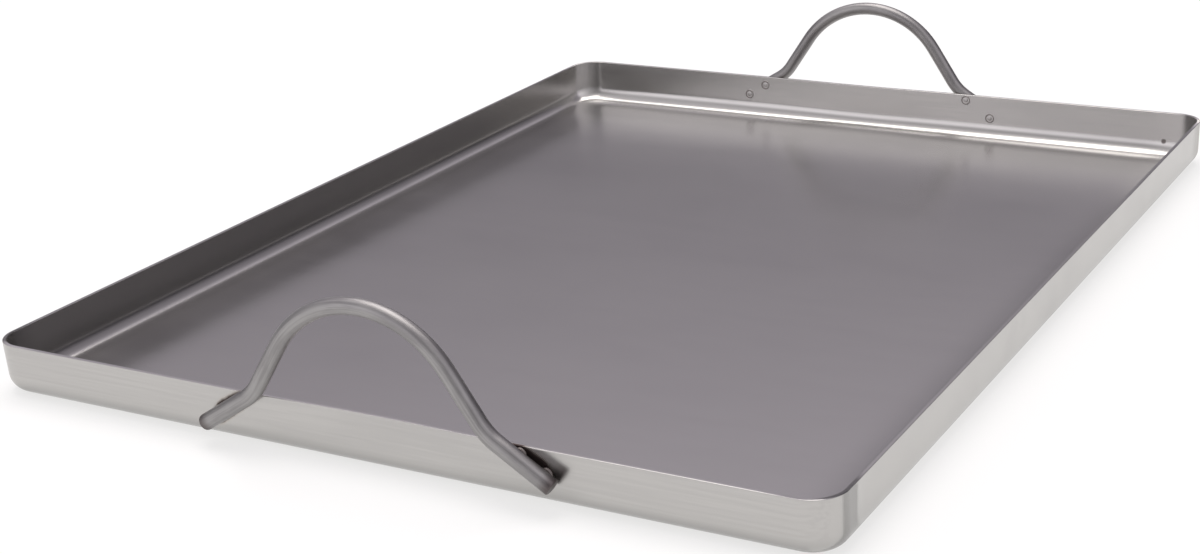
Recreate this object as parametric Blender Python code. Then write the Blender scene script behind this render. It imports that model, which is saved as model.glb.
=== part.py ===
"""Griddle tray: a shallow pressed steel tray with a bent rod handle spot-welded to each end wall.

Frame: metres, +Z up, +X across the width, +Y along the length. The origin is the centre of the
underside, which is the face that the tray rests on.
"""
import math

import bmesh
import bpy
from mathutils import Matrix, Vector

# ---- driving dimensions -------------------------------------------------------------------
TRAY_WIDTH = 0.450          # across the outside of the rim, along X
TRAY_LENGTH = 0.600         # across the outside of the rim, along Y
TRAY_HEIGHT = 0.0275        # underside to rim
SHEET = 0.0020              # sheet thickness
PLAN_CORNER = 0.017         # outer corner radius of the rim, seen from above
BOTTOM_BEND = 0.010         # outer radius between wall and floor
SIDE_LEAN = math.radians(0.3)    # the long walls lean outward very slightly
END_LEAN = math.radians(3.5)     # the short walls lean outward more, towards the rim
RIM_BREAK = 0.0003          # chamfer that takes the burr off the cut rim

ROD = 0.008                 # handle rod diameter
CROWN_RADIUS = 0.054        # centreline radius of the grip
CROWN_TOP = 0.0528          # rim level to the centreline at the top of the grip
LEG_SLOPE = math.radians(56.5)   # of the straight legs, from the horizontal
FOOT_SLOPE = math.radians(32.0)  # of the feet, which splay down the wall
FOOT_BEND = 0.028           # centreline radius between leg and foot
FOOT_MARK = (0.074, -0.0046)     # a point on the foot's centreline: out from the middle, from rim level
FOOT_END = 0.093            # half distance between the two rod ends
ROD_CHAMFER = 0.0006        # on the cut ends of the rod

GAP = 0.0003                # clearance between pieces that touch
WELD_DIAMETER = 0.0056
LOWER_WELD = 0.0875          # distance of each foot's lower weld from the handle's middle
WELD_PROUD = 0.0004         # how far a weld stands into the tray

# Each handle is set by hand: sideways shift, lift, and tilt in its own plane.
# upper_welds are the same distance for the upper weld of the left foot and of the right foot.
HANDLE_SETTINGS = {
    "front": {
        "end": -1,
        "shift": 0.0063,
        "lift": 0.0007,
        "tilt": math.radians(0.8),
        "upper_welds": (0.0755, 0.0755),
    },
    "rear": {
        "end": 1,
        "shift": -0.0026,
        "lift": -0.0007,
        "tilt": math.radians(-0.4),
        "upper_welds": (0.0755, 0.0705),
    },
}

# ---- how finely curves are stepped --------------------------------------------------------
CORNER_STEPS = 12
BEND_STEPS = 7
CROWN_STEPS = 44
FOOT_BEND_STEPS = 8
ROD_SIDES = 24
WELD_SIDES = 24
SHARP_ANGLE = math.radians(35)


def clear_scene():
    """Remove whatever the file holds before the part is modelled."""
    for item in list(bpy.data.objects):
        bpy.data.objects.remove(item, do_unlink=True)


# ---- materials ----------------------------------------------------------------------------
def metal(name, colour, roughness):
    """A bare metal: colour is linear RGB."""
    material = bpy.data.materials.new(name)
    material.use_nodes = True
    shader = material.node_tree.nodes["Principled BSDF"]
    shader.inputs["Base Color"].default_value = (*colour, 1.0)
    shader.inputs["Metallic"].default_value = 1.0
    shader.inputs["Roughness"].default_value = roughness
    return material


def make_materials():
    """The rolled sheet, the drawn rod and the heat-tinted weld metal."""
    return {
        "tray_sheet": metal("tray_sheet", (0.50, 0.48, 0.48), 0.34),
        "handle_rod": metal("handle_rod", (0.46, 0.45, 0.43), 0.38),
        "weld_metal": metal("weld_metal", (0.20, 0.17, 0.16), 0.50),
    }


# ---- mesh helpers -------------------------------------------------------------------------
def finish_object(name, mesh_builder, material):
    """Turn a bmesh into a named, smooth-shaded object with one material."""
    bmesh.ops.recalc_face_normals(mesh_builder, faces=mesh_builder.faces[:])
    mesh = bpy.data.meshes.new(name)
    mesh_builder.to_mesh(mesh)
    mesh_builder.free()
    mesh.materials.append(material)
    mesh.shade_smooth()
    mesh.set_sharp_from_angle(angle=SHARP_ANGLE)
    item = bpy.data.objects.new(name, mesh)
    bpy.context.scene.collection.objects.link(item)
    return item


def join_rings(mesh_builder, rings):
    """Skin a list of equally long vertex rings and close the first and last with a flat cap."""
    for lower, upper in zip(rings, rings[1:]):
        count = len(lower)
        for i in range(count):
            j = (i + 1) % count
            mesh_builder.faces.new((lower[i], lower[j], upper[j], upper[i]))
    mesh_builder.faces.new(rings[0])
    mesh_builder.faces.new(rings[-1])


# ---- tray ---------------------------------------------------------------------------------
def wall_inset(z, lean, inner):
    """Distance of a straight wall's face inside the rim's outline, at height z."""
    inset = math.tan(lean) * (TRAY_HEIGHT - z)
    return inset + (SHEET / math.cos(lean) if inner else 0.0)


def bend_section(radius, floor_z, lean, inner):
    """Points (inset, z) of the round bend from the wall's face down to the floor's face.

    The bend starts at the same height on walls of either lean, so that a ring stays level.
    """
    centre_z = floor_z + radius
    touch_z = centre_z - radius * math.sin(lean)
    centre_inset = wall_inset(touch_z, lean, inner) + radius * math.cos(lean)
    first_turn = (SIDE_LEAN + END_LEAN) / 2
    points = []
    for step in range(BEND_STEPS + 1):
        turn = first_turn + (math.pi / 2 - first_turn) * step / BEND_STEPS
        inset = centre_inset - radius * math.cos(turn)
        points.append((inset, centre_z - radius * math.sin(turn)))
    return points


def tray_section(lean):
    """A wall of this lean in section, from under the floor, over the rim, to the cooking surface."""
    outside = bend_section(BOTTOM_BEND, 0.0, lean, inner=False)
    inside = bend_section(BOTTOM_BEND - SHEET, SHEET, lean, inner=True)
    under_rim = TRAY_HEIGHT - RIM_BREAK
    rim = [
        (wall_inset(under_rim, lean, inner=False), under_rim),
        (wall_inset(TRAY_HEIGHT, lean, inner=False) + RIM_BREAK, TRAY_HEIGHT),
        (wall_inset(TRAY_HEIGHT, lean, inner=True) - RIM_BREAK, TRAY_HEIGHT),
        (wall_inset(under_rim, lean, inner=True), under_rim),
    ]
    return outside[::-1] + rim + inside


def rounded_ring(mesh_builder, side_inset, end_inset, z):
    """One level ring of vertices round the tray: a rectangle with round corners, inside the rim."""
    radius = PLAN_CORNER - (side_inset + end_inset) / 2
    reach_x = TRAY_WIDTH / 2 - side_inset - radius
    reach_y = TRAY_LENGTH / 2 - end_inset - radius
    ring = []
    for quarter, (side_x, side_y) in enumerate(((1, 1), (-1, 1), (-1, -1), (1, -1))):
        for step in range(CORNER_STEPS + 1):
            turn = (quarter + step / CORNER_STEPS) * math.pi / 2
            x = side_x * reach_x + radius * math.cos(turn)
            y = side_y * reach_y + radius * math.sin(turn)
            ring.append(mesh_builder.verts.new((x, y, z)))
    return ring


def make_tray(materials):
    """The pressed tray: floor, four leaning walls and a plain cut rim, in one sheet."""
    mesh_builder = bmesh.new()
    rings = []
    for (side_inset, z), (end_inset, _) in zip(tray_section(SIDE_LEAN), tray_section(END_LEAN)):
        rings.append(rounded_ring(mesh_builder, side_inset, end_inset, z))
    join_rings(mesh_builder, rings)
    return finish_object("griddle_tray", mesh_builder, materials["tray_sheet"])


# ---- handles ------------------------------------------------------------------------------
def foot_height(x):
    """Height of the foot's centreline above rim level, at a distance x from the middle."""
    mark_x, mark_z = FOOT_MARK
    return mark_z - math.tan(FOOT_SLOPE) * (x - mark_x)


def half_centreline():
    """Centreline points (x, z) from the top of the grip to one rod end; z is from rim level."""
    points = []
    for step in range(CROWN_STEPS // 2 + 1):
        turn = LEG_SLOPE * step / (CROWN_STEPS // 2)
        drop = CROWN_RADIUS * (1 - math.cos(turn))
        points.append((CROWN_RADIUS * math.sin(turn), CROWN_TOP - drop))
    leg_x, leg_z = points[-1]
    fall_leg = math.tan(LEG_SLOPE)
    fall_foot = math.tan(FOOT_SLOPE)
    corner_x = (leg_z + fall_leg * leg_x - foot_height(0)) / (fall_leg - fall_foot)
    corner_z = foot_height(corner_x)
    reach = FOOT_BEND * math.tan((LEG_SLOPE - FOOT_SLOPE) / 2)
    centre_x = corner_x - reach * math.cos(LEG_SLOPE) + FOOT_BEND * math.sin(LEG_SLOPE)
    centre_z = corner_z + reach * math.sin(LEG_SLOPE) + FOOT_BEND * math.cos(LEG_SLOPE)
    for step in range(FOOT_BEND_STEPS + 1):
        turn = LEG_SLOPE + (FOOT_SLOPE - LEG_SLOPE) * step / FOOT_BEND_STEPS
        x = centre_x - FOOT_BEND * math.sin(turn)
        points.append((x, centre_z - FOOT_BEND * math.cos(turn)))
    points.append((FOOT_END, foot_height(FOOT_END)))
    return points


def rod_centreline():
    """The whole centreline, left rod end to right rod end, in the plane y = 0."""
    half = half_centreline()
    left = [Vector((-x, 0.0, z)) for x, z in half[:0:-1]]
    right = [Vector((x, 0.0, z)) for x, z in half]
    return left + right


def rod_ring(mesh_builder, centre, along, radius):
    """A ring of vertices square to the rod at one point of its centreline."""
    side = Vector((0.0, 1.0, 0.0))
    up = along.cross(side).normalized()
    ring = []
    for step in range(ROD_SIDES):
        turn = 2 * math.pi * step / ROD_SIDES
        offset = side * math.cos(turn) + up * math.sin(turn)
        ring.append(mesh_builder.verts.new(centre + offset * radius))
    return ring


def make_rod_mesh(name, materials):
    """A bent rod in its own plane, with chamfered ends."""
    line = rod_centreline()
    mesh_builder = bmesh.new()
    rings = []
    last = len(line) - 1
    for index, centre in enumerate(line):
        before = line[max(index - 1, 0)]
        after = line[min(index + 1, last)]
        along = (after - before).normalized()
        if index == 0:
            rings.append(rod_ring(mesh_builder, centre, along, ROD / 2 - ROD_CHAMFER))
            centre = centre + along * ROD_CHAMFER
        if index == last:
            inner = centre - along * ROD_CHAMFER
            rings.append(rod_ring(mesh_builder, inner, along, ROD / 2))
            rings.append(rod_ring(mesh_builder, centre, along, ROD / 2 - ROD_CHAMFER))
        else:
            rings.append(rod_ring(mesh_builder, centre, along, ROD / 2))
    join_rings(mesh_builder, rings)
    return finish_object(name, mesh_builder, materials["handle_rod"])


def handle_frame(setting):
    """World matrix of a handle's own frame, whose origin is at rim level in the rod's plane."""
    y = setting["end"] * (TRAY_LENGTH / 2 + GAP + ROD / 2)
    place = Matrix.Translation((setting["shift"], y, TRAY_HEIGHT + setting["lift"]))
    return place @ Matrix.Rotation(-setting["tilt"], 4, "Y")


def make_handle(end_name, materials):
    """One bent rod handle, standing against the outside of an end wall."""
    handle = make_rod_mesh(f"{end_name}_handle", materials)
    frame = handle_frame(HANDLE_SETTINGS[end_name])
    handle.location = frame.to_translation()
    handle.rotation_euler = frame.to_euler()
    return handle


# ---- welds --------------------------------------------------------------------------------
def weld_spots():
    """Every weld's name, end of the tray and centre (x, z)."""
    for end_name, setting in HANDLE_SETTINGS.items():
        frame = handle_frame(setting)
        left_upper, right_upper = setting["upper_welds"]
        for side_name, side, upper in (("left", -1, left_upper), ("right", 1, right_upper)):
            for level_name, reach in (("upper", upper), ("lower", LOWER_WELD)):
                spot = frame @ Vector((side * reach, 0.0, foot_height(reach)))
                name = f"{end_name}_{side_name}_{level_name}_weld"
                yield name, setting["end"], spot.x, spot.z


def disc(mesh_builder, x, z, radius, y_from, y_to):
    """A round bar along Y between two planes."""
    rings = []
    for y in (y_from, y_to):
        ring = []
        for step in range(WELD_SIDES):
            turn = 2 * math.pi * step / WELD_SIDES
            spot = (x + radius * math.cos(turn), y, z + radius * math.sin(turn))
            ring.append(mesh_builder.verts.new(spot))
        rings.append(ring)
    join_rings(mesh_builder, rings)


def make_weld(name, end, x, z, materials):
    """One spot weld: the fused plug that joins wall and rod, with its mark inside the tray."""
    inside_wall = TRAY_LENGTH / 2 - wall_inset(z, END_LEAN, inner=True)
    mesh_builder = bmesh.new()
    y_inner = end * (inside_wall - WELD_PROUD)
    y_outer = end * (TRAY_LENGTH / 2)
    disc(mesh_builder, x, z, WELD_DIAMETER / 2, y_inner, y_outer)
    return finish_object(name, mesh_builder, materials["weld_metal"])


def cut_weld_seats(tray):
    """Open the tray's end walls where each weld's plug goes through."""
    mesh_builder = bmesh.new()
    for _, end, x, z in weld_spots():
        middle = end * TRAY_LENGTH / 2
        reach = 3 * SHEET
        disc(mesh_builder, x, z, WELD_DIAMETER / 2 + GAP, middle - reach, middle + reach)
    bmesh.ops.recalc_face_normals(mesh_builder, faces=mesh_builder.faces[:])
    mesh = bpy.data.meshes.new("weld_seat_cutter")
    mesh_builder.to_mesh(mesh)
    mesh_builder.free()
    cutter = bpy.data.objects.new("weld_seat_cutter", mesh)
    bpy.context.scene.collection.objects.link(cutter)
    cutter.hide_render = True
    cutter.display_type = "WIRE"
    boolean = tray.modifiers.new("weld_seats", "BOOLEAN")
    boolean.operation = "DIFFERENCE"
    boolean.solver = "EXACT"
    boolean.object = cutter


def build():
    """Model the whole griddle tray."""
    clear_scene()
    materials = make_materials()
    tray = make_tray(materials)
    cut_weld_seats(tray)
    for end_name in HANDLE_SETTINGS:
        make_handle(end_name, materials)
    for name, end, x, z in weld_spots():
        make_weld(name, end, x, z, materials)


build()
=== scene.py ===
# %% [markdown]
# # A griddle tray in satin steel
#
# The object is a shallow rectangular tray of bare stainless sheet with a bent rod handle on each
# short end. A tray like this has no decoration at all: what makes it look real is how true its
# bends are, how evenly the metal shines, and the small marks that the workshop left on it.
# We load the measured model first, because every new piece has to lie exactly where it says.

# %% Load the frame
import math

import bmesh
import bpy
from mathutils import Matrix, Vector


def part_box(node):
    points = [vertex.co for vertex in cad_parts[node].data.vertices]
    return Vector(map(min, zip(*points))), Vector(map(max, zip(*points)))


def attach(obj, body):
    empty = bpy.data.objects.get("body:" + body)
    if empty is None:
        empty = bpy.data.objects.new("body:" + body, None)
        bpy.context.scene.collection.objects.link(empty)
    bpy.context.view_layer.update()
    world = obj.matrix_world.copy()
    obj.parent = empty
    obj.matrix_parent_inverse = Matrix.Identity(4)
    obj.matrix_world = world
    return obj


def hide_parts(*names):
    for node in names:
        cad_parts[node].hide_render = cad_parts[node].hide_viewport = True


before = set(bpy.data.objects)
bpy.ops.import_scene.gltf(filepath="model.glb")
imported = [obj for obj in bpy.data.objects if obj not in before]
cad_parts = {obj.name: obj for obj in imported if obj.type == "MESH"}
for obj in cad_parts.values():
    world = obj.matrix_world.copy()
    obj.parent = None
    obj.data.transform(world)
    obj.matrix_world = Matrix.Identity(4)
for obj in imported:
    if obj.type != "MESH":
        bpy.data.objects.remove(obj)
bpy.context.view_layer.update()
tray_low, tray_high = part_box("griddle_tray")
print("nodes:", ", ".join(sorted(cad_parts)))

# %% [markdown]
# ## The camera
#
# The tray is seen from a standing person's side of a table: from the front, a little to the right,
# and from about twenty degrees above the table top. The lens is a short telephoto, so the far
# end narrows only a little. The slight roll is that of a camera held by hand.

# %% Camera
CAMERA_PLACE = (0.5079, -0.9654, 0.3871)
CAMERA_TURN = (70.087, 2.597, 28.975)
CAMERA_LENS = 61.34

camera_data = bpy.data.cameras.new("camera")
camera_data.lens = CAMERA_LENS
camera_data.sensor_width = 36
camera = bpy.data.objects.new("camera", camera_data)
camera.location = CAMERA_PLACE
camera.rotation_euler = [math.radians(angle) for angle in CAMERA_TURN]
bpy.context.scene.collection.objects.link(camera)
bpy.context.scene.camera = camera
print("camera at", CAMERA_PLACE)

# %% [markdown]
# ## Sizes
#
# The width, length and height are read from the frame, so they can't drift from it. The rest are
# workshop sizes: the sheet, the bend radius that the press leaves, and the rod's bends. They
# are repeated from the design, because a bend can't be read back from a box.

# %% Sizes
MM = 0.001
TRAY_WIDTH = tray_high.x - tray_low.x
TRAY_LENGTH = tray_high.y - tray_low.y
TRAY_HEIGHT = tray_high.z - tray_low.z
SHEET = 2.0 * MM
PLAN_CORNER = 17.0 * MM
BOTTOM_BEND = 10.0 * MM
SIDE_LEAN = math.radians(0.3)
END_LEAN = math.radians(3.5)

ROD = 8.0 * MM
CROWN_RADIUS = 54.0 * MM
CROWN_TOP = 52.8 * MM
LEG_SLOPE = math.radians(56.5)
FOOT_SLOPE = math.radians(32.0)
FOOT_BEND = 28.0 * MM
FOOT_MARK = (74.0 * MM, -4.6 * MM)
FOOT_END = 93.0 * MM
GAP = 0.3 * MM
LOWER_WELD = 87.5 * MM

HANDLES = {
    "front": {
        "end": -1,
        "shift": 6.3 * MM,
        "lift": 0.7 * MM,
        "tilt": math.radians(0.8),
        "upper_welds": (75.5 * MM, 75.5 * MM),
    },
    "rear": {
        "end": 1,
        "shift": -2.6 * MM,
        "lift": -0.7 * MM,
        "tilt": math.radians(-0.4),
        "upper_welds": (75.5 * MM, 70.5 * MM),
    },
}
print(f"tray {TRAY_WIDTH / MM:.1f} x {TRAY_LENGTH / MM:.1f} x {TRAY_HEIGHT / MM:.1f} mm")

# %% [markdown]
# ## Small helpers
#
# Blender's operators act on whatever is selected, and loading the frame leaves its nodes selected.
# So each piece starts from a clean slate, and faces, edges and points are picked in code, by
# where they are. The helpers below do only that.

# %% Helpers for edit mode


def start_fresh():
    """Leave edit mode and deselect everything."""
    if bpy.context.object and bpy.context.object.mode != "OBJECT":
        bpy.ops.object.mode_set(mode="OBJECT")
    bpy.ops.object.select_all(action="DESELECT")


def enter_edit(select_mode):
    """Go into edit mode with nothing picked; select_mode is VERT, EDGE or FACE."""
    bpy.ops.object.mode_set(mode="EDIT")
    bpy.ops.mesh.select_mode(type=select_mode)
    bpy.ops.mesh.select_all(action="DESELECT")


def pick(kind, test):
    """In edit mode, select the verts, edges or faces that pass a test, and return how many did."""
    grid = bmesh.from_edit_mesh(bpy.context.object.data)
    chosen = 0
    for part in getattr(grid, kind):
        wanted = test(part)
        part.select_set(wanted)
        chosen += wanted
    grid.select_flush_mode()
    bmesh.update_edit_mesh(bpy.context.object.data)
    return chosen


def bake_place():
    """Apply location, rotation and scale, so that the piece's place is in its mesh."""
    bpy.ops.object.transform_apply(location=True, rotation=True, scale=True)


def apply_modifiers(piece):
    """Apply every modifier on a piece, in order."""
    for modifier in list(piece.modifiers):
        bpy.ops.object.modifier_apply(modifier=modifier.name)


# %% [markdown]
# ## The tray
#
# The real tray starts as one flat sheet and is pressed into a die, which rounds every corner and
# every bend. It could be lofted from rings, but a press is easier to copy with an open box: pull in
# the bottom for the walls' lean, bevel the four upright edges for the plan corners, bevel the
# bottom edge for the bend, and only then give the skin its thickness. In that order the inner
# bend comes out concentric with the outer one, as in bent sheet.

# %% Tray: an open box with leaning walls
start_fresh()
bpy.ops.mesh.primitive_cube_add(size=1, location=(0, 0, TRAY_HEIGHT / 2))
tray = bpy.context.object
tray.name = "tray_sheet"
tray.scale = (TRAY_WIDTH, TRAY_LENGTH, TRAY_HEIGHT)
bake_place()

enter_edit("FACE")
pick("faces", lambda face: face.normal.z > 0.9)
bpy.ops.mesh.delete(type="ONLY_FACE")
bpy.ops.mesh.select_mode(type="VERT")
pick("verts", lambda vert: vert.co.z < TRAY_HEIGHT / 2)
foot_width = TRAY_WIDTH - 2 * TRAY_HEIGHT * math.tan(SIDE_LEAN)
foot_length = TRAY_LENGTH - 2 * TRAY_HEIGHT * math.tan(END_LEAN)
bpy.ops.transform.resize(
    value=(foot_width / TRAY_WIDTH, foot_length / TRAY_LENGTH, 1),
    center_override=(0, 0, 0),
)
print(f"underside {foot_width / MM:.1f} x {foot_length / MM:.1f} mm before the bends")

# %% Tray: round the corners and the bottom bend
CORNER_STEPS = 20
BEND_STEPS = 12

bpy.ops.mesh.select_mode(type="EDGE")
uprights = pick("edges", lambda edge: abs(edge.verts[0].co.z - edge.verts[1].co.z) > TRAY_HEIGHT / 2)
bpy.ops.mesh.bevel(offset=PLAN_CORNER, segments=CORNER_STEPS, profile=0.5, affect="EDGES")
bends = pick("edges", lambda edge: max(vert.co.z for vert in edge.verts) < 0.1 * MM)

# A bevel's offset for a given radius depends on the angle it rounds; this is for the mean lean.
bend_width = BOTTOM_BEND * math.tan(math.pi / 4 - (SIDE_LEAN + END_LEAN) / 4)
bpy.ops.mesh.bevel(offset=bend_width, segments=BEND_STEPS, profile=0.5, affect="EDGES")
print(uprights, "upright edges and", bends, "bottom edges rounded")

# %% [markdown]
# A pressed sheet is never quite flat. The floor has long shallow waves, and each end wall is drawn
# in a little between the handle's feet, where the welding pulled it. Waves need points to
# move, so the skin is first cut into strips with bisect.

# %% Tray: cut the skin into strips
STRIP = 12.5 * MM
WALL_CUTS = (11 * MM, 16 * MM, 21 * MM, 26 * MM)


def cut_strips(axis, half_size):
    """Bisect the whole mesh with evenly spaced planes square to one axis."""
    normal = [0, 0, 0]
    normal[axis] = 1
    count = int(half_size // STRIP)
    for step in range(-count, count + 1):
        place = [0, 0, 0]
        place[axis] = step * STRIP
        bpy.ops.mesh.select_all(action="SELECT")
        bpy.ops.mesh.bisect(plane_co=place, plane_no=normal)


cut_strips(0, TRAY_WIDTH / 2 - PLAN_CORNER)
cut_strips(1, TRAY_LENGTH / 2 - PLAN_CORNER)
for height in WALL_CUTS:
    bpy.ops.mesh.select_all(action="SELECT")
    bpy.ops.mesh.bisect(plane_co=(0, 0, height), plane_no=(0, 0, 1))
bpy.ops.object.mode_set(mode="OBJECT")
print("tray skin has", len(tray.data.polygons), "faces")

# %% Tray: press the waves in
FLOOR_WAVE = 0.25 * MM
WALL_WAVE = 0.12 * MM
WALL_DRAW = 1.2 * MM
DRAW_REACH = 70 * MM
FLOOR_EDGE = 12 * MM
FLOOR_EASE = 60 * MM
WALL_BAND = 4 * MM

# The three swells in a wave reach 1, 1 and 0.6, so their sum stays within 2.6 of zero.
SWELL_LIMIT = 2.6

# A ripple never falls below this share of its size, so every wall stays inside the tray's box.
LEAST_RIPPLE = 0.2


def wave(x, y):
    """A smooth made-up swell between 0 and 1 over the tray's plan."""
    swell = math.sin(9.1 * x + 4.3 * y + 0.6) + math.sin(-5.7 * x + 11.3 * y + 2.1)
    swell += 0.6 * math.sin(17.9 * x + 3.1) * math.sin(13.7 * y + 0.4)
    return 0.5 + swell / (2 * SWELL_LIMIT)


def ease(t):
    """A smooth step from 0 to 1."""
    t = max(0.0, min(1.0, t))
    return t * t * (3 - 2 * t)


def press_waves(mesh):
    """Swell the floor, ripple the walls and draw the end walls in between the handle's feet."""
    for vert in mesh.vertices:
        x, y, z = vert.co
        from_wall = min(TRAY_WIDTH / 2 - abs(x), TRAY_LENGTH / 2 - abs(y))
        on_floor = ease((from_wall - FLOOR_EDGE) / FLOOR_EASE)
        up_wall = ease(z / TRAY_HEIGHT)
        vert.co.z += FLOOR_WAVE * wave(x, y) * on_floor
        if abs(y) > TRAY_LENGTH / 2 - WALL_BAND:
            handle = HANDLES["front" if y < 0 else "rear"]
            near_middle = 1 - ease(abs(x - handle["shift"]) / DRAW_REACH)
            pull = WALL_DRAW * near_middle + WALL_WAVE * (wave(x, 3 * x) + LEAST_RIPPLE)
            vert.co.y -= math.copysign(pull * up_wall, y)
        elif abs(x) > TRAY_WIDTH / 2 - WALL_BAND:
            pull = WALL_WAVE * (wave(3 * y, y) + LEAST_RIPPLE)
            vert.co.x -= math.copysign(pull * up_wall, x)


press_waves(tray.data)
print("floor swells by up to", FLOOR_WAVE / MM, "mm")

# %% [markdown]
# Now the skin gets its thickness, inward, so that the outside stays at size. The guillotine left
# the rim square, and a quick pass with a file took the burr off: a very narrow bevel. Only the
# rim's two edges are sharp enough for the bevel's angle limit to find.

# %% Tray: sheet thickness and rim
solid = tray.modifiers.new("sheet", "SOLIDIFY")
solid.thickness = SHEET
solid.offset = -1
solid.use_even_offset = True
burr = tray.modifiers.new("burr", "BEVEL")
burr.width = 0.35 * MM
burr.segments = 3
burr.limit_method = "ANGLE"
burr.angle_limit = math.radians(50)
apply_modifiers(tray)
bpy.ops.object.shade_smooth_by_angle(angle=math.radians(12))
print("tray sheet has", len(tray.data.polygons), "faces")

# %% [markdown]
# ## The handles
#
# Each handle is one length of 8 mm round rod, bent cold over formers: a wide arch for the hand, a
# straight leg down each side, a short bend outward, and a foot that splays down the wall. A
# curve with a bevel would do, but bending a rod is what the spin operator does: sweep a ring
# through an arc, then push it straight on, and so to the other end.

# %% Handle: the ring at the left rod end
ROD_SIDES = 32


def foot_height(x):
    """Height of the foot's centreline above rim level, at a distance x from the middle."""
    mark_x, mark_z = FOOT_MARK
    return mark_z - math.tan(FOOT_SLOPE) * (x - mark_x)


crown_centre = Vector((0, 0, CROWN_TOP - CROWN_RADIUS))
leg_top = crown_centre + CROWN_RADIUS * Vector((-math.sin(LEG_SLOPE), 0, math.cos(LEG_SLOPE)))
leg_way = Vector((math.cos(LEG_SLOPE), 0, math.sin(LEG_SLOPE)))
foot_way = Vector((math.cos(FOOT_SLOPE), 0, math.sin(FOOT_SLOPE)))
rod_end = Vector((-FOOT_END, 0, foot_height(FOOT_END)))

# The leg and the foot would meet here if the rod were kinked; the bend rounds it off.
fall = leg_top.z - math.tan(LEG_SLOPE) * leg_top.x
kink_x = (fall - foot_height(0)) / (math.tan(FOOT_SLOPE) - math.tan(LEG_SLOPE))
kink = Vector((kink_x, 0, foot_height(-kink_x)))
rounding = FOOT_BEND * math.tan((LEG_SLOPE - FOOT_SLOPE) / 2)
foot_length_straight = (kink - rod_end).length - rounding
leg_length = (leg_top - kink).length - rounding
bend_start = rod_end + foot_way * foot_length_straight
bend_centre = bend_start + FOOT_BEND * Vector((-math.sin(FOOT_SLOPE), 0, math.cos(FOOT_SLOPE)))
print(f"foot {foot_length_straight / MM:.1f} mm, leg {leg_length / MM:.1f} mm, kink at {kink / MM}")

# %% Handle: bend the rod
FOOT_BEND_STEPS = 10
CROWN_STEPS = 56


def push_on(way, length):
    """Extrude the ring straight on."""
    bpy.ops.mesh.extrude_region_move(TRANSFORM_OT_translate={"value": way * length})


def bend_round(centre, angle, steps):
    """Sweep the ring through an arc about an axis along Y; spin itself counts angles the other way."""
    bpy.ops.mesh.spin(steps=steps, angle=-angle, center=centre, axis=(0, 1, 0))


def mirrored(vector):
    """The same point or way on the other side of the handle's middle plane."""
    return Vector((-vector.x, vector.y, vector.z))


def bend_rod(name):
    """The whole rod in its own plane, from the left end to the right end."""
    start_fresh()
    bpy.ops.mesh.primitive_circle_add(
        vertices=ROD_SIDES,
        radius=ROD / 2,
        fill_type="NOTHING",
        location=rod_end,
        rotation=(0, math.pi / 2 - FOOT_SLOPE, 0),
    )
    rod = bpy.context.object
    rod.name = name
    bake_place()
    enter_edit("VERT")
    bpy.ops.mesh.select_all(action="SELECT")
    push_on(foot_way, foot_length_straight)
    bend_round(bend_centre, FOOT_SLOPE - LEG_SLOPE, FOOT_BEND_STEPS)
    push_on(leg_way, leg_length)
    bend_round(crown_centre, 2 * LEG_SLOPE, CROWN_STEPS)
    push_on(-mirrored(leg_way), leg_length)
    bend_round(mirrored(bend_centre), FOOT_SLOPE - LEG_SLOPE, FOOT_BEND_STEPS)
    push_on(-mirrored(foot_way), foot_length_straight)
    bpy.ops.object.mode_set(mode="OBJECT")
    return rod


bent_rod = bend_rod("bent_rod")
low = min(vert.co.x for vert in bent_rod.data.vertices)
high = max(vert.co.x for vert in bent_rod.data.vertices)
print(f"rod runs from x {low / MM:.1f} to {high / MM:.1f} mm")

# %% [markdown]
# The rod was sawn off and the saw's edge was broken on a grinding wheel. So both open ends are
# filled, and a small bevel goes round each cut. Spin and extrude leave the skin facing either way,
# so its doubles are merged and its normals recalculated before anything is judged by angle.

# %% Handle: close and chamfer the ends
start_fresh()
bent_rod.select_set(True)
bpy.context.view_layer.objects.active = bent_rod
enter_edit("VERT")
bpy.ops.mesh.select_all(action="SELECT")
bpy.ops.mesh.remove_doubles(threshold=0.01 * MM)
bpy.ops.mesh.select_all(action="DESELECT")
bpy.ops.mesh.select_non_manifold(extend=False)
bpy.ops.mesh.fill_holes(sides=0)
bpy.ops.mesh.select_all(action="SELECT")
bpy.ops.mesh.normals_make_consistent(inside=False)
bpy.ops.object.mode_set(mode="OBJECT")
chamfer = bent_rod.modifiers.new("chamfer", "BEVEL")
chamfer.width = 0.7 * MM
chamfer.segments = 3
chamfer.limit_method = "ANGLE"
chamfer.angle_limit = math.radians(60)
apply_modifiers(bent_rod)
bpy.ops.object.shade_smooth_by_angle(angle=math.radians(40))
print("one rod has", len(bent_rod.data.polygons), "faces")

# %% [markdown]
# Drawing the rod through a die scratched it lengthways, and the scratches bent with it. To follow
# them, every point remembers where it sat on the straight rod: how far along, and where in the
# round section. That goes into an attribute, which the steel's grain reads later.

# %% Handle: remember the straight rod


def centreline():
    """The bent centreline as points in the rod's own plane, left end to right end."""
    left = [rod_end]
    for step in range(FOOT_BEND_STEPS + 1):
        turn = FOOT_SLOPE + (LEG_SLOPE - FOOT_SLOPE) * step / FOOT_BEND_STEPS
        left.append(bend_centre + FOOT_BEND * Vector((math.sin(turn), 0, -math.cos(turn))))
    half_crown = CROWN_STEPS // 2
    for step in range(half_crown + 1):
        turn = LEG_SLOPE * (1 - step / half_crown)
        left.append(crown_centre + CROWN_RADIUS * Vector((-math.sin(turn), 0, math.cos(turn))))
    return left + [mirrored(point) for point in left[-2::-1]]


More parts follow.
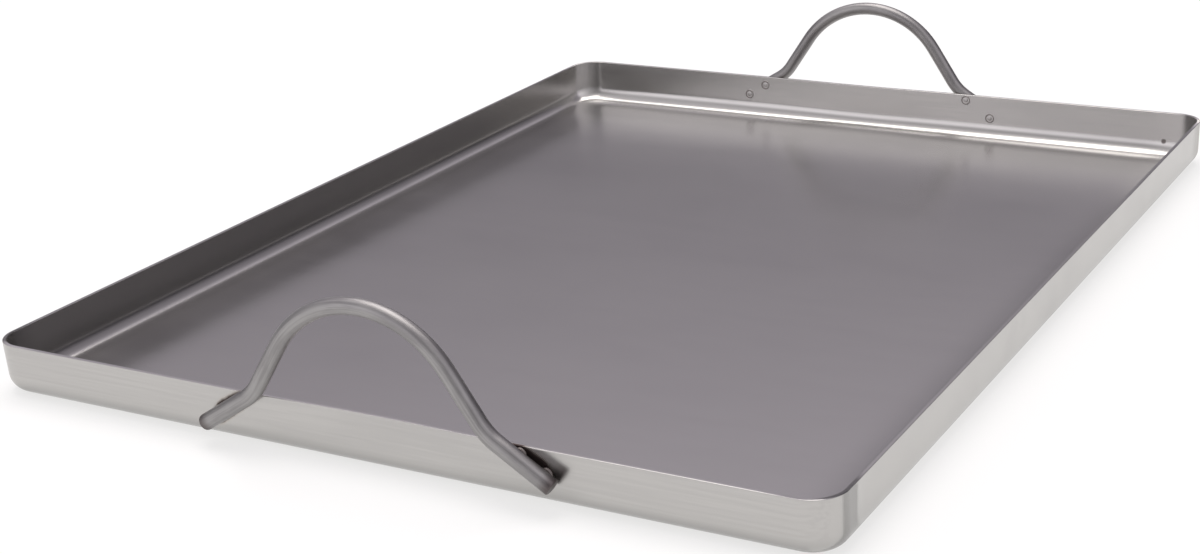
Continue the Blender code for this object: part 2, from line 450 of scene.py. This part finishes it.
def straighten(point, line, runs):
    """Where a point of the bent rod sat before bending: along, and across in both ways."""
    best = None
    for start, end, run in zip(line, line[1:], runs):
        piece = end - start
        share = max(0.0, min(1.0, (point - start).dot(piece) / piece.length_squared))
        nearest = start + piece * share
        flat = Vector((point.x - nearest.x, 0, point.z - nearest.z))
        if best is None or flat.length < best[0]:
            side = flat.dot(Vector((-piece.z, 0, piece.x)).normalized())
            best = (flat.length, run + piece.length * share, side)
    return Vector((best[1], point.y, best[2]))


def remember_straight(mesh):
    """Store the straightened place of every point as the attribute straight_place."""
    line = centreline()
    runs = [0.0]
    for start, end in zip(line, line[1:]):
        runs.append(runs[-1] + (end - start).length)
    places = mesh.attributes.new("straight_place", "FLOAT_VECTOR", "POINT")
    for vert in mesh.vertices:
        places.data[vert.index].vector = straighten(vert.co, line, runs)
    return runs[-1]


rod_length = remember_straight(bent_rod.data)
print(f"the rod was {rod_length / MM:.0f} mm long before bending")

# %% [markdown]
# Both handles are the same bent rod. Each was held against its wall by hand for welding, so the
# two don't sit quite alike: each is off the middle and tips by its own small amount. Each copy has
# its own mesh, and the place goes into the mesh.

# %% Handle: one copy for each end


def handle_frame(handle):
    """The place of a handle's own plane: its origin is at rim level, in the rod's middle."""
    y = handle["end"] * (TRAY_LENGTH / 2 + GAP + ROD / 2)
    place = Matrix.Translation((handle["shift"], y, TRAY_HEIGHT + handle["lift"]))
    return place @ Matrix.Rotation(-handle["tilt"], 4, "Y")


rods = {}
for end_name, handle in HANDLES.items():
    rod = bent_rod.copy()
    rod.data = bent_rod.data.copy()
    rod.name = f"{end_name}_handle_rod"
    bpy.context.scene.collection.objects.link(rod)
    rod.data.transform(handle_frame(handle))
    rods[end_name] = rod
    _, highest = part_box(f"{end_name}_handle")
    top = max(vert.co.z for vert in rod.data.vertices)
    print(f"{rod.name}: top at {top / MM:.2f} mm, in the frame {highest.z / MM:.2f} mm")
bpy.data.objects.remove(bent_rod)

# %% [markdown]
# ## The spot welds
#
# Two spots hold each foot. The electrode left a small button on the inside of the wall: a raised lip
# where soft metal was pushed aside, a groove, and a low dome in the middle. Outside, the molten
# metal left a short neck between wall and rod. It could be turned as a profile; here a disc is
# extruded and scaled step by step, which follows the same profile and closes itself.

# %% Weld: the button and its neck
WELD_SIDES = 40

# Steps along the weld's axis from the rod to the inside of the tray: depth from the wall's inner
# face, and radius.
WELD_PROFILE = (
    (-2.90 * MM, 2.4 * MM),
    (-2.15 * MM, 3.1 * MM),
    (-1.40 * MM, 3.0 * MM),
    (-1.30 * MM, 2.3 * MM),
    (-0.30 * MM, 2.3 * MM),
    (-0.20 * MM, 3.15 * MM),
    (0.05 * MM, 3.05 * MM),
    (0.20 * MM, 2.8 * MM),
    (0.18 * MM, 2.5 * MM),
    (-0.06 * MM, 2.2 * MM),
    (-0.12 * MM, 1.8 * MM),
    (0.06 * MM, 1.4 * MM),
    (0.20 * MM, 0.9 * MM),
    (0.24 * MM, 0.3 * MM),
)

# The neck is burnt all over, so its points carry a radius from the middle of the burnt ring.
NECK_DEPTH = -1.0 * MM
BURNT_RADIUS = 2.6 * MM


def make_weld_master():
    """One weld with its axis along +Y, pointing into the tray, and its wall face at y = 0."""
    start_fresh()
    first_depth, first_radius = WELD_PROFILE[0]
    bpy.ops.mesh.primitive_circle_add(
        vertices=WELD_SIDES,
        radius=first_radius,
        fill_type="NGON",
        location=(0, first_depth, 0),
        rotation=(math.pi / 2, 0, 0),
    )
    weld = bpy.context.object
    weld.name = "weld_master"
    bake_place()
    enter_edit("FACE")
    bpy.ops.mesh.select_all(action="SELECT")
    for (depth, radius), (next_depth, next_radius) in zip(WELD_PROFILE, WELD_PROFILE[1:]):
        step = (0, next_depth - depth, 0)
        bpy.ops.mesh.extrude_region_move(TRANSFORM_OT_translate={"value": step})
        ratio = next_radius / radius
        bpy.ops.transform.resize(value=(ratio, 1, ratio), center_override=(0, next_depth, 0))
    bpy.ops.mesh.select_all(action="SELECT")
    bpy.ops.mesh.normals_make_consistent(inside=False)
    bpy.ops.object.mode_set(mode="OBJECT")
    bpy.ops.object.shade_smooth_by_angle(angle=math.radians(60))
    from_centre = weld.data.attributes.new("from_centre", "FLOAT", "POINT")
    for vert in weld.data.vertices:
        on_neck = vert.co.y < NECK_DEPTH
        radius = BURNT_RADIUS if on_neck else math.hypot(vert.co.x, vert.co.z)
        from_centre.data[vert.index].value = radius
    return weld


weld_master = make_weld_master()
print("one weld has", len(weld_master.data.polygons), "faces")

# %% [markdown]
# The wall leans and ripples, so each weld asks the finished tray where its surface is: a ray is
# cast from the inside towards the wall, and the button is set on the spot that it meets.

# %% Weld: eight copies, set on the walls
RAY_RUN = 20 * MM


def weld_spot(handle, side, reach):
    """The weld's centre on the inner wall, and the wall's normal there."""
    middle = handle_frame(handle) @ Vector((side * reach, 0, foot_height(reach)))
    start = Vector((middle.x, handle["end"] * (TRAY_LENGTH / 2 - RAY_RUN), middle.z))
    hit, place, normal, _ = tray.ray_cast(start, Vector((0, handle["end"], 0)))
    assert hit, "the ray has to meet the wall"
    return place, normal


welds = {}
for end_name, handle in HANDLES.items():
    left_upper, right_upper = handle["upper_welds"]
    for side_name, side, upper in (("left", -1, left_upper), ("right", 1, right_upper)):
        for level_name, reach in (("upper", upper), ("lower", LOWER_WELD)):
            place, normal = weld_spot(handle, side, reach)
            node = f"{end_name}_{side_name}_{level_name}_weld"
            weld = weld_master.copy()
            weld.data = weld_master.data.copy()
            weld.name = f"{node}_button"
            bpy.context.scene.collection.objects.link(weld)
            turn = Vector((0, 1, 0)).rotation_difference(normal).to_matrix().to_4x4()
            weld.data.transform(Matrix.Translation(place) @ turn)
            welds[node] = (weld, place)
            print(f"{node} at {place / MM}")
bpy.data.objects.remove(weld_master)

# %% [markdown]
# ## Shader arithmetic
#
# The steel's look is worked out from the place on the metal. Wiring dozens of Math nodes by hand is
# slow and hard to read, so a small class wraps a node's output and lets it be used in a
# formula: each sign adds one Math node. A second class holds the material and adds any other node.

# %% Paint and recipe


class Paint:
    """A number, colour or vector that varies over a surface; arithmetic adds Math nodes."""

    def __init__(self, recipe, socket):
        self.recipe = recipe
        self.socket = socket

    def __add__(self, other):
        return self.recipe.math("ADD", self, other)

    def __radd__(self, other):
        return self.recipe.math("ADD", other, self)

    def __sub__(self, other):
        return self.recipe.math("SUBTRACT", self, other)

    def __rsub__(self, other):
        return self.recipe.math("SUBTRACT", other, self)

    def __mul__(self, other):
        return self.recipe.math("MULTIPLY", self, other)

    def __rmul__(self, other):
        return self.recipe.math("MULTIPLY", other, self)

    def __abs__(self):
        return self.recipe.math("ABSOLUTE", self)

    def lower_of(self, other):
        return self.recipe.math("MINIMUM", self, other)

    def higher_of(self, other):
        return self.recipe.math("MAXIMUM", self, other)

    def rise(self, low, high):
        """0 below low, 1 above high, and a smooth step between; low may be the larger one."""
        settings = {"interpolation_type": "SMOOTHSTEP"}
        inputs = {"Value": self, "From Min": low, "From Max": high}
        return self.recipe.node("ShaderNodeMapRange", settings, inputs)


class Recipe:
    """One material, or the world, being made of nodes."""

    def __init__(self, tree):
        self.tree = tree

    def node(self, kind, settings=None, inputs=None, output=0):
        """Add a node: its settings first, then its sockets; returns one output as Paint."""
        made = self.tree.nodes.new(kind)
        for name, value in (settings or {}).items():
            setattr(made, name, value)
        for name, value in (inputs or {}).items():
            self.feed(made.inputs[name], value)
        return Paint(self, made.outputs[output])

    def feed(self, socket, value):
        """Link a paint to a socket, or set the socket's own value."""
        if isinstance(value, Paint):
            self.tree.links.new(value.socket, socket)
        else:
            socket.default_value = value

    def math(self, operation, first, second=0.0):
        return self.node("ShaderNodeMath", {"operation": operation}, {0: first, 1: second})

    def place(self):
        """Object coordinates: metres from the origin, in the tray's own frame."""
        return self.node("ShaderNodeTexCoord", output="Object")

    def split(self, vector):
        """The three numbers of a vector."""
        first = self.node("ShaderNodeSeparateXYZ", None, {0: vector})
        return [Paint(self, socket) for socket in first.socket.node.outputs]

    def join(self, x, y, z):
        return self.node("ShaderNodeCombineXYZ", None, {0: x, 1: y, 2: z})

    def stretch(self, vector, scale):
        settings = {"operation": "MULTIPLY"}
        return self.node("ShaderNodeVectorMath", settings, {0: vector, 1: scale})

    def distance(self, vector, point):
        settings = {"operation": "DISTANCE"}
        return self.node("ShaderNodeVectorMath", settings, {0: vector, 1: point}, "Value")

    def noise(self, vector, scale, detail=2.0, roughness=0.5):
        inputs = {"Vector": vector, "Scale": scale, "Detail": detail, "Roughness": roughness}
        return self.node("ShaderNodeTexNoise", None, inputs)

    def mix(self, share, first, second):
        """A colour between two colours."""
        settings = {"data_type": "RGBA"}
        return self.node("ShaderNodeMix", settings, {0: share, 6: first, 7: second}, 2)

    def bump(self, height, strength, distance):
        inputs = {"Height": height, "Strength": strength, "Distance": distance}
        return self.node("ShaderNodeBump", None, inputs)


def start_metal(name):
    """A new metal: returns the material, its recipe and its Principled shader node."""
    material = bpy.data.materials.new(name)
    material.use_nodes = True
    shader = material.node_tree.nodes["Principled BSDF"]
    shader.inputs["Metallic"].default_value = 1.0
    return material, Recipe(material.node_tree), shader


print("helpers for shader arithmetic are ready")

# %% [markdown]
# ## The steel of the tray
#
# Rolled stainless sheet is a blurred mirror: the colour is nearly one grey, and what varies is how
# blurred it is. Handling leaves cloudy patches and faint wipe marks, and the noise for them goes
# into the roughness and a little into the colour. Everything else is a mask, a number from 0 to 1
# that says how much of a second colour shows at a place. The colours come first.

# %% Tray steel: colours
SHEET_GREY = (0.50, 0.488, 0.472, 1)
DULL_GREY = (0.43, 0.42, 0.41, 1)
# Painted shade: the grey of the dark band along the outside of the bottom bend.
BEND_SHADE_GREY = (0.34, 0.33, 0.325, 1)
STRAW_TINT = (0.40, 0.33, 0.25, 1)
# Heat tint, on the rods' ends too. Beside the feet it is also painted shade of the gap between foot
# and wall.
BROWN_TINT = (0.055, 0.036, 0.034, 1)
print("the sheet goes from", SHEET_GREY[:3], "to", BROWN_TINT[:3])

# %% [markdown]
# The welding heat tinted the outside of the end walls, in a patch along each foot that widens
# towards the tip. Its brown also stands for the shade in the gap between foot and wall: painted
# shade. It could be painted by hand on a map, but it has to follow the foot. So the distance is
# measured from the foot's own line, which is worked out from the same slope and mark that bent the
# rod.

# %% Tray steel: scorch and painted shade beside the feet
SCORCH_AND_SHADE_LIFT = 0.4 * MM
SCORCH_AND_SHADE_TIP = 86 * MM
SCORCH_AND_SHADE_RAGGED = 1.4 * MM
SCORCH_AND_SHADE_WIDENS = 1.6 * MM


def from_foot(recipe, x, y, z):
    """Distance, along an end wall, from the line of the nearest foot, and the reach of that place."""
    at_front = y.rise(1 * MM, -1 * MM)
    front, rear = HANDLES["front"], HANDLES["rear"]
    shift = at_front * (front["shift"] - rear["shift"]) + rear["shift"]
    lift = at_front * (front["lift"] - rear["lift"]) + rear["lift"]
    tilt = at_front * (front["tilt"] - rear["tilt"]) + rear["tilt"]
    side = x - shift
    reach = abs(side)
    height = z - lift - side * tilt - TRAY_HEIGHT
    mark_x, mark_z = FOOT_MARK
    above = height - mark_z + (reach - mark_x) * math.tan(FOOT_SLOPE)
    beyond = (reach - SCORCH_AND_SHADE_TIP).higher_of(0.0)
    offset = recipe.join(above * math.cos(FOOT_SLOPE) - SCORCH_AND_SHADE_LIFT, beyond, 0.0)
    return recipe.distance(offset, (0, 0, 0)), reach


def scorch_and_shade_masks(recipe, place, x, y, z):
    """The straw and the brown on the outside of the end walls: heat tint, with painted shade in the
    brown.
    """
    skin = abs(y) + (TRAY_HEIGHT - z) * math.tan(END_LEAN)
    outside = skin.rise(TRAY_LENGTH / 2 - 1.6 * MM, TRAY_LENGTH / 2 - 0.6 * MM)
    patches = recipe.noise(place, 300.0, 3.0, 0.6)
    away, reach = from_foot(recipe, x, y, z)
    to_tip = reach.rise(62 * MM, 94 * MM)
    away = away + (patches - 0.5) * SCORCH_AND_SHADE_RAGGED - to_tip * SCORCH_AND_SHADE_WIDENS
    near_foot = outside * reach.rise(58 * MM, 68 * MM)
    straw = away.rise(5.0 * MM, 3.2 * MM) * near_foot * 0.3
    # The brown is heat tint and painted shade of the dark gap between foot and wall.
    brown = away.rise(4.2 * MM, 2.6 * MM) * near_foot * 0.95
    return straw, brown


print(f"the scorch's line ends {SCORCH_AND_SHADE_TIP / MM:.0f} mm from the handle's middle")

# %% [markdown]
# Three more marks. The outer skin of the bottom bend is darker: painted shade, standing in for the
# shadow under the tray that the bend mirrors. Each weld leaves a dull spot, and the far wall has one
# dark spot near its right corner, a painted dark reflection. All three are found by distance: from
# the bend's middle line, from the welds and from the spot's own place.

# %% Tray steel: painted shade on the bend, and spots
# A painted dark reflection: a spot on the inner wall near the far right corner.
DARK_REFLECTION_SPOT = Vector((200 * MM, 297 * MM, 9 * MM))

# The end walls lean, which brings the middle line of their bend about 1 mm further in.
END_BEND_INSET = 1 * MM

weld_places = [place for _, place in welds.values()]


def bend_shade_mask(recipe, x, y, z):
    """Painted shade on the outer skin of the bottom bend, 10 mm from the bend's middle line; the inner
    is at 8.
    """
    over_side = (abs(x) - (TRAY_WIDTH / 2 - BOTTOM_BEND)).higher_of(0.0)
    over_end = (abs(y) - (TRAY_LENGTH / 2 - BOTTOM_BEND - END_BEND_INSET)).higher_of(0.0)
    from_bend = recipe.distance(recipe.join(over_side, over_end, z), (0, 0, BOTTOM_BEND))
    return from_bend.rise(8.6 * MM, 9.6 * MM) * z.rise(9 * MM, 2 * MM)


def nearest(recipe, place, points):
    """Distance from a place to the closest of some points."""
    closest = None
    for point in points:
        away = recipe.distance(place, point)
        closest = away if closest is None else closest.lower_of(away)
    return closest


print(len(weld_places), "welds leave a spot on the walls")

# %% [markdown]
# The recipe lays the marks over each other, the scorch and its painted shade last. Towards the walls
# the sheet seems to roll gently upward, which makes the strip beside each bend catch light. Only the
# shading tilts there, through a bump: the mesh keeps its nearly flat floor.

# %% Tray steel: recipe
END_ROLL = 6.5 * MM
SIDE_ROLL = 2.2 * MM

# Test renders had worm-like marks where the noise took the roughness past about 0.27, and none
# once it was kept below. Only the brown band beside the feet goes higher.
ROUGHNESS_CEILING = 0.268


def make_tray_steel():
    material, recipe, shader = start_metal("tray_steel")
    place = recipe.place()
    x, y, z = recipe.split(place)

    clouds = recipe.noise(recipe.stretch(place, (0.7, 1, 1)), 11.0, 4.0, 0.6)
    smears = recipe.noise(recipe.stretch(place, (0.3, 1, 1)), 38.0, 3.0, 0.55)
    streaks = recipe.noise(recipe.stretch(place, (0.03, 1, 1)), 260.0, 2.0, 0.5)
    brushing = recipe.noise(recipe.stretch(place, (0.02, 1, 1)), 650.0, 2.0, 0.6)
    on_end_wall = z.rise(6 * MM, 10 * MM) * abs(y).rise(292 * MM, 295 * MM)

    shaded_bend = bend_shade_mask(recipe, x, y, z)
    straw, brown = scorch_and_shade_masks(recipe, place, x, y, z)
    press = nearest(recipe, place, weld_places).rise(5.0 * MM, 3.0 * MM) * 0.3
    # Painted dark reflection near the far right corner.
    reflection_spot = recipe.distance(place, DARK_REFLECTION_SPOT).rise(2.0 * MM, 1.0 * MM) * 0.8

    colour = recipe.mix((clouds + smears - 0.9).rise(0.0, 0.45) * 0.35, SHEET_GREY, DULL_GREY)
    colour = recipe.mix(on_end_wall * brushing.rise(0.35, 0.7) * 0.35, colour, DULL_GREY)
    colour = recipe.mix(press, colour, DULL_GREY)
    # Painted shade along the outside of the bottom bend.
    colour = recipe.mix(shaded_bend * 0.7, colour, BEND_SHADE_GREY)
    colour = recipe.mix(straw, colour, STRAW_TINT)
    # Heat tint with painted shade beside the feet, and the painted dark reflection near the far right
    # corner.
    colour = recipe.mix(brown.higher_of(reflection_spot), colour, BROWN_TINT)
    recipe.feed(shader.inputs["Base Color"], colour)

    roughness = 0.242 + (clouds - 0.5) * 0.11 + (smears - 0.5) * 0.05 + (streaks - 0.5) * 0.03
    recipe.feed(shader.inputs["Roughness"], roughness.lower_of(ROUGHNESS_CEILING) + brown * 0.25)

    roll_end = abs(y).rise(262 * MM, 297 * MM)
    roll_side = abs(x).rise(183 * MM, 222 * MM)
    height = roll_end * roll_end * END_ROLL + roll_side * roll_side * SIDE_ROLL
    recipe.feed(shader.inputs["Normal"], recipe.bump(height, 1.0, 1.0))
    return material


tray_steel = make_tray_steel()
print("tray steel has", len(tray_steel.node_tree.nodes), "nodes")

# %% [markdown]
# ## The steel of the rods
#
# Rod is drawn through a die, so its lines run lengthways and can be felt. The noise for them reads
# the straightened place that each rod carries, stretched along the first axis, and goes into the
# colour, the roughness and a low bump. At the rod's ends the welding heat turned the steel brown.

# %% Rod steel: recipe
ROD_GREY = (0.36, 0.35, 0.345, 1)
DARK_LINE = (0.26, 0.25, 0.25, 1)


def make_rod_steel():
    material, recipe, shader = start_metal("rod_steel")
    straight = recipe.node("ShaderNodeAttribute", {"attribute_name": "straight_place"}, None, "Vector")
    along = recipe.split(straight)[0]
    lines = recipe.noise(recipe.stretch(straight, (0.02, 1, 1)), 1300.0, 3.0, 0.65)
    smears = recipe.noise(recipe.stretch(straight, (0.3, 1, 1)), 110.0, 3.0, 0.6)

    from_end = along.lower_of(rod_length - along)
    scorch = from_end.rise(7 * MM, 0.5 * MM) * 0.7
    colour = recipe.mix((lines + smears).rise(0.8, 1.25), DARK_LINE, ROD_GREY)
    colour = recipe.mix(scorch, colour, BROWN_TINT)
    recipe.feed(shader.inputs["Base Color"], colour)
    recipe.feed(shader.inputs["Roughness"], 0.45 + (lines - 0.5) * 0.22 + (smears - 0.5) * 0.14)
    recipe.feed(shader.inputs["Normal"], recipe.bump(lines, 0.35, 0.05 * MM))
    return material


rod_steel = make_rod_steel()
print("rod steel has", len(rod_steel.node_tree.nodes), "nodes")

# %% [markdown]
# ## The weld metal
#
# The copper electrode left the middle of the button bright, and the ring of metal round it burnt
# dark. The tint follows the distance from the weld's own axis. All eight welds lie in the tray's
# frame, so the material can't know their axes, and each weld carries the distance as an attribute.

# %% Weld metal: recipe
BUTTON_GREY = (0.46, 0.44, 0.43, 1)
BURNT_RING = (0.13, 0.095, 0.085, 1)


def make_weld_metal():
    material, recipe, shader = start_metal("weld_metal")
    radius = recipe.node("ShaderNodeAttribute", {"attribute_name": "from_centre"}, None, "Fac")
    pits = recipe.noise(recipe.place(), 1500.0, 3.0, 0.6)
    ring = radius.rise(1.4 * MM, 2.2 * MM) * radius.rise(3.2 * MM, 2.7 * MM)
    colour = recipe.mix(ring * 0.6, BUTTON_GREY, BURNT_RING)
    recipe.feed(shader.inputs["Base Color"], colour)
    recipe.feed(shader.inputs["Roughness"], 0.38 + ring * 0.15 + (pits - 0.5) * 0.2)
    recipe.feed(shader.inputs["Normal"], recipe.bump(pits, 0.4, 0.05 * MM))
    return material


weld_metal = make_weld_metal()
print("weld metal has", len(weld_metal.node_tree.nodes), "nodes")

# %% Put each metal on its pieces


def wear(piece, material):
    """Give a piece one material."""
    piece.data.materials.clear()
    piece.data.materials.append(material)


wear(tray, tray_steel)
for rod in rods.values():
    wear(rod, rod_steel)
for weld, _ in welds.values():
    wear(weld, weld_metal)
print(1 + len(rods) + len(welds), "pieces have their metal")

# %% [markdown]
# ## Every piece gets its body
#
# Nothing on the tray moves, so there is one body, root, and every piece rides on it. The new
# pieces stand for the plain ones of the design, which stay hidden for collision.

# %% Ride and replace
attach(tray, "root")
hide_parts("griddle_tray")
for end_name, rod in rods.items():
    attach(rod, "root")
    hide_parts(f"{end_name}_handle")
for node_name, (weld, _) in welds.items():
    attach(weld, "root")
    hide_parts(node_name)
print(1 + len(rods) + len(welds), "pieces ride on root")

# %% [markdown]
# ## Floor, light and world
#
# Steel shows mostly what stands round it, so the studio matters as much as the metal. The tray is
# on a wide white table. Much of the table's brightness is its own glow, which keeps it pale to its
# edges without more lamps for the steel to mirror.

# %% Floor
TABLE_SIZE = 16
TABLE_DROP = 0.4 * MM
TABLE_GLOW = 0.68
TABLE_LIGHT = (1, 0.995, 0.985, 1)
TABLE_DARK = (0.29, 0.29, 0.29, 1)
TABLE_PALE = (0.31, 0.31, 0.31, 1)


def make_table_paint():
    """Matt paint with a faint mottle and a glow."""
    material = bpy.data.materials.new("white_table")
    material.use_nodes = True
    recipe = Recipe(material.node_tree)
    shader = material.node_tree.nodes["Principled BSDF"]
    shader.inputs["Roughness"].default_value = 0.8
    shader.inputs["Specular IOR Level"].default_value = 0.1
    shader.inputs["Emission Strength"].default_value = TABLE_GLOW
    shader.inputs["Emission Color"].default_value = TABLE_LIGHT
    mottle = recipe.noise(recipe.place(), 3.0)
    recipe.feed(shader.inputs["Base Color"], recipe.mix(mottle, TABLE_DARK, TABLE_PALE))
    return material


start_fresh()
bpy.ops.mesh.primitive_plane_add(size=TABLE_SIZE, location=(0, 0, -TABLE_DROP))
table = bpy.context.object
table.name = "table_top"
bake_place()
wear(table, make_table_paint())
print("table top laid")

# %% [markdown]
# The room is painted into the world instead of built from walls, so that each part of it can be
# moved or dimmed alone. A pale band lies just above the table, and higher up the room gets brighter
# again. The far right is dim, and so is the high near side. A window stands low on the near left,
# and the right wall is pale except at its far end.

# %% World
FAR_COLOUR = (0.95, 0.89, 1.0, 1)
NEAR_COLOUR = (0.98, 0.955, 1.0, 1)
HORIZON_LEVEL = 0.10
SKY_RISE = 0.66
FAR_RIGHT_LOSS = 0.56
WINDOW_LEVEL = 1.15
WINDOW_WAY = Vector((-0.46, -0.85, 0.15)).normalized()
RIGHT_BOUNCE = 0.6
LOW_BAND = 0.30
NEAR_HIGH_LOSS = 0.55


def make_world():
    """The room: every level is a strength in one direction, seen from the tray."""
    world = bpy.data.worlds.new("studio")
    world.use_nodes = True
    recipe = Recipe(world.node_tree)
    background = world.node_tree.nodes["Background"]
    way = recipe.node("ShaderNodeTexCoord", output="Generated")
    x, y, z = recipe.split(way)
    far_right = x.rise(-0.15, 0.35) * y.rise(-0.3, 0.5)
    low = z.rise(0.16, 0.02) * LOW_BAND
    sky = (z.rise(0.12, 0.62) * SKY_RISE + HORIZON_LEVEL + low) * (1 - far_right * FAR_RIGHT_LOSS)
    near_high = y.rise(-0.4, -0.75) * z.rise(0.25, 0.6)
    sky = sky * (1 - near_high * NEAR_HIGH_LOSS)
    settings = {"operation": "DOT_PRODUCT"}
    inputs = {0: way, 1: WINDOW_WAY}
    towards_window = recipe.node("ShaderNodeVectorMath", settings, inputs, "Value")
    window = towards_window.rise(0.78, 0.97) * WINDOW_LEVEL
    near_right = x.rise(0.3, 0.9) * y.rise(0.4, -0.1) * RIGHT_BOUNCE
    recipe.feed(background.inputs["Strength"], sky + window + near_right)
    recipe.feed(background.inputs["Color"], recipe.mix(y.rise(-0.4, 0.4), NEAR_COLOUR, FAR_COLOUR))
    bpy.context.scene.world = world


make_world()
print("studio walls painted")

# %% [markdown]
# One large soft box hangs high over the far left of the table. A smaller one, hung closer, left a
# hard bright line along the near end of the left bend. The view transform is the standard one,
# which keeps white paint white.

# %% Light
KEY_PLACE = Vector((-0.45, 0.6, 3.9))
KEY_TARGET = Vector((0, 0.1, 0))
KEY_WIDTH = 2.6
KEY_LENGTH = 3.3
KEY_POWER = 100
KEY_COLOUR = (1, 0.97, 0.93)


def hang_key_box():
    """The rectangular soft box, facing its target."""
    data = bpy.data.lights.new("key_box", "AREA")
    data.shape = "RECTANGLE"
    data.size = KEY_WIDTH
    data.size_y = KEY_LENGTH
    data.energy = KEY_POWER
    data.color = KEY_COLOUR
    light = bpy.data.objects.new("key_box", data)
    light.location = KEY_PLACE
    light.rotation_euler = (KEY_TARGET - KEY_PLACE).to_track_quat("-Z", "Y").to_euler()
    bpy.context.scene.collection.objects.link(light)


hang_key_box()
bpy.context.scene.view_settings.view_transform = "Standard"
print("soft box hung at", tuple(round(number, 2) for number in KEY_PLACE))
